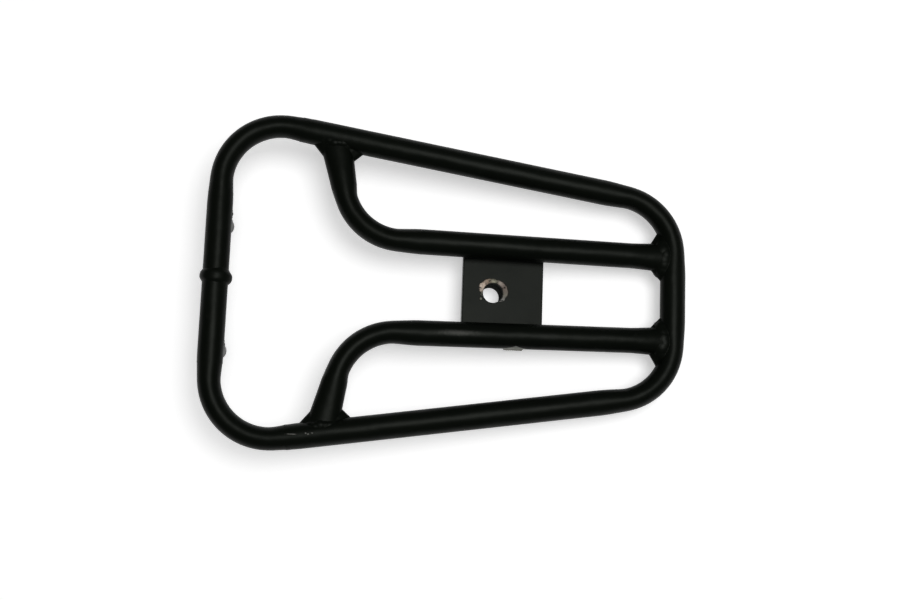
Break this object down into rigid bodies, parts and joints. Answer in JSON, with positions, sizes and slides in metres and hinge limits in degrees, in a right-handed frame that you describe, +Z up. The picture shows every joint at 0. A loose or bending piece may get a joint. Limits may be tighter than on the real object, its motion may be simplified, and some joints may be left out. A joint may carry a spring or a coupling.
{
  "type": "motorcycle luggage rack",
  "caption": "Small welded luggage rack of black coated steel tube: a rounded trapezoid loop with inner rails, a bolt plate with a bush, and threaded feet under the wide end.",
  "frame": {"origin": "on the axis of the centre bolt hole, at the lower face of the centre bush, which is a seat of the rack", "axes": "+X from the wide end to the narrow end, +Y to the left seen along +X, +Z up, away from the vehicle"},
  "size_m": [0.268, 0.1838, 0.0501],
  "materials": {
    "tube_coat": "satin black powder coat over steel tube and welds, a little worn",
    "plate_coat": "satin black powder coat over a flat steel bar, chipped to bare metal round the bolt hole"
  },
  "bodies": {
    "root": {"outer_loop": "tube_coat", "butt_weld": "tube_coat", "rail_left": "tube_coat", "rail_right": "tube_coat", "rail_weld_wide_left": "tube_coat", "rail_weld_wide_right": "tube_coat", "rail_weld_narrow_left": "tube_coat", "rail_weld_narrow_right": "tube_coat", "mounting_plate": "plate_coat", "plate_stitch_left": "tube_coat", "plate_stitch_right": "tube_coat", "plate_end_welds_left": "tube_coat", "plate_end_welds_right": "tube_coat", "centre_bush": "tube_coat", "bush_weld": "tube_coat", "boss_left": "tube_coat", "boss_right": "tube_coat", "boss_weld_left": "tube_coat", "boss_weld_right": "tube_coat"}
  },
  "joints": []
}
